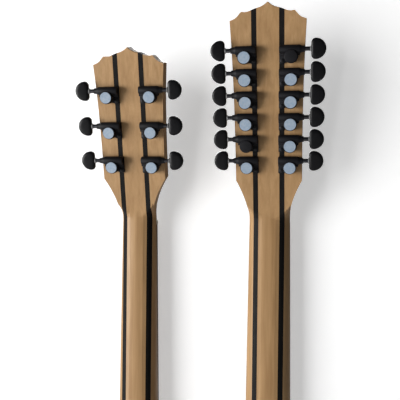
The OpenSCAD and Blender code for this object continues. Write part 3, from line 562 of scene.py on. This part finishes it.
for t in tuners:
    make_piece(t.knob + "_button", t.set_in_place(button()), black_button, t.knob,
               [t.knob], angle=50)
    make_piece(t.knob + "_shaft", t.set_in_place(shaft()), shaft_steel, t.knob, [t.knob])
    make_piece(t.knob + "_washer", t.set_in_place(washer()), washer_white, t.knob, [t.knob])

# %% [markdown]
# ## Posts, strings and fittings
#
# These pieces come from the CAD almost as they are. They only need their edges eased and their finish.

# %% Posts and small fittings
for t in tuners:
    refine(t.post, black_chrome, width=0.12, angle=40, body=t.post)
refine("screws", black_screw, width=0.08, angle=40)
refine("frets", fret_metal, width=0.12, angle=40)
refine("fret_markers", pearl, width=0.05, angle=40)
refine("nuts_and_saddles", bone, width=0.25, angle=40)
refine("truss_rods", rod_steel, width=0.15, angle=40)
refine("truss_rod_covers", black_plastic, width=0.4, angle=40)
refine("strings", string_steel, width=0, angle=89)
refine("bridges", rosewood, width=0.5, angle=40)
refine("tailpieces", nickel, width=0.3, angle=40)
refine("end_pin", ebony, width=0.3, angle=40)

# %% [markdown]
# ## Headstock faces and fingerboards

# %% Faces and boards
refine("headstock_veneers", black_veneer, width=0.3, angle=40)
refine("fingerboards", rosewood, width=0.5, angle=60)

# %% [markdown]
# ## The body
#
# A bowl back is bent from thin staves with a dark line between each pair. The staves are already separate
# CAD solids, so they only need smooth shading and a warm varnished wood.

# %% Body
refine("bowl_staves", bowl_wood, width=0, angle=89, flat=0.01)
refine("bowl_dark_trim", black_wood, width=0, angle=89, flat=0.01)
refine("body_frame", block_wood, width=0.3, angle=40)
refine("soundboard", spruce, width=0.3, angle=60)
refine("binding_and_pickguard", celluloid, width=0.25, angle=60)

# %% [markdown]
# ## Stage and light
#
# A white board stands 12 mm in front of the strings, so from behind the instrument it is the backdrop that
# takes the soft shadows. It is drawn on one side only: from the front the light passes and the instrument
# shows. It throws no light back on the instrument, so the sides turned from the lamp stay dark.

# %% Stage
def plain(name, colour, glow=0.0, one_sided=False):
    paint = Finish(name, Roughness=0.9, Specular_IOR_Level=0.1,
                   Emission_Color=(1, 1, 1, 1), Emission_Strength=glow)
    paper = paint.noise(paint.place(), 30, 2, 0.5)
    paint.colour(paint.blend(paint.spread(paper, 0.0, 1.0), (*colour, 1), (*[c * 0.995 for c in colour], 1)))
    if one_sided:
        clear = paint.node("ShaderNodeBsdfTransparent")
        rear = paint.node("ShaderNodeNewGeometry").outputs["Backfacing"]
        pick = paint.node("ShaderNodeMixShader", {0: rear, 1: paint.shader.outputs[0], 2: clear.outputs[0]})
        paint.tree.links.new(pick.outputs[0], paint.tree.nodes["Material Output"].inputs["Surface"])
    return paint.material


def sheet_of(name, corners, material):
    bm = bmesh.new()
    bm.faces.new([bm.verts.new(c) for c in corners])
    mesh = bpy.data.meshes.new(name)
    bm.to_mesh(mesh)
    bm.free()
    mesh.materials.append(material)
    obj = bpy.data.objects.new(name, mesh)
    bpy.context.scene.collection.objects.link(obj)
    return obj


FLOOR_HALF, WALL_HALF, WALL_TOP = 4, 1.3, 2.4
floor_z = cad_box[0][2] - 0.5 * MM
wall_y = cad_box[0][1] - 12 * MM
sheet_of("floor", [(-FLOOR_HALF, -FLOOR_HALF, floor_z), (FLOOR_HALF, -FLOOR_HALF, floor_z),
                   (FLOOR_HALF, FLOOR_HALF, floor_z), (-FLOOR_HALF, FLOOR_HALF, floor_z)],
         plain("floor_paint", (0.86, 0.86, 0.86), glow=0.06))
wall = sheet_of("backdrop", [(WALL_HALF, wall_y, floor_z), (-WALL_HALF, wall_y, floor_z),
                             (-WALL_HALF, wall_y, WALL_TOP), (WALL_HALF, wall_y, WALL_TOP)],
                plain("backdrop_paper", (0.92, 0.92, 0.92), glow=0.38, one_sided=True))
wall.visible_shadow = False
wall.visible_diffuse = False
wall.visible_glossy = False

# %% [markdown]
# ## Light
#
# In a studio the lamp that models the object and the lamp that whitens the paper are two lamps. The window
# lamp stands far round to the side, so the rounded neck backs run from bright to nearly black. The paper lamp
# only lights the backdrop, and it lays the soft shadow beside the instrument. A third lamp lights the front.

# %% Light
def soft_lamp(name, at, target, size, watts):
    data = bpy.data.lights.new(name, "AREA")
    data.shape = "SQUARE"
    data.size = size
    data.energy = watts
    lamp = bpy.data.objects.new(name, data)
    aim = (Vector(target) - Vector(at)).to_track_quat("-Z", "Y").to_matrix().to_4x4()
    lamp.matrix_world = Matrix.Translation(at) @ aim
    bpy.context.scene.collection.objects.link(lamp)
    return lamp


window = soft_lamp("window_lamp", (2.22, 1.5, 0.68), (0, 0, 0.85), 1.3, 90)
paper_lamp = soft_lamp("paper_lamp", (1.74, 1.8, 1.15), (0, wall_y, 0.85), 1.9, 61)
soft_lamp("front_lamp", (0.9, -2.6, 1.6), (0, 0, 0.5), 1.6, 70)

paper_only = bpy.data.collections.new("paper_only")
paper_only.objects.link(wall)
paper_lamp.light_linking.receiver_collection = paper_only
not_paper = bpy.data.collections.new("not_paper")
not_paper.objects.link(wall)
not_paper.collection_objects[0].light_linking.link_state = "EXCLUDE"
window.light_linking.receiver_collection = not_paper

# %% Room
world = bpy.data.worlds.new("room")
bpy.context.scene.world = world
world.use_nodes = True
tree = world.node_tree
room = tree.nodes["Background"]
room.inputs["Color"].default_value = (1, 1, 1, 1)
room.inputs["Strength"].default_value = 0.07
seen = tree.nodes.new("ShaderNodeBackground")
seen.inputs["Color"].default_value = (1, 1, 1, 1)
seen.inputs["Strength"].default_value = 1.0
ray = tree.nodes.new("ShaderNodeLightPath")
pick = tree.nodes.new("ShaderNodeMixShader")
tree.links.new(ray.outputs["Is Camera Ray"], pick.inputs[0])
tree.links.new(room.outputs[0], pick.inputs[1])
tree.links.new(seen.outputs[0], pick.inputs[2])
tree.links.new(pick.outputs[0], tree.nodes["World Output"].inputs["Surface"])
bpy.context.scene.view_settings.view_transform = "Standard"
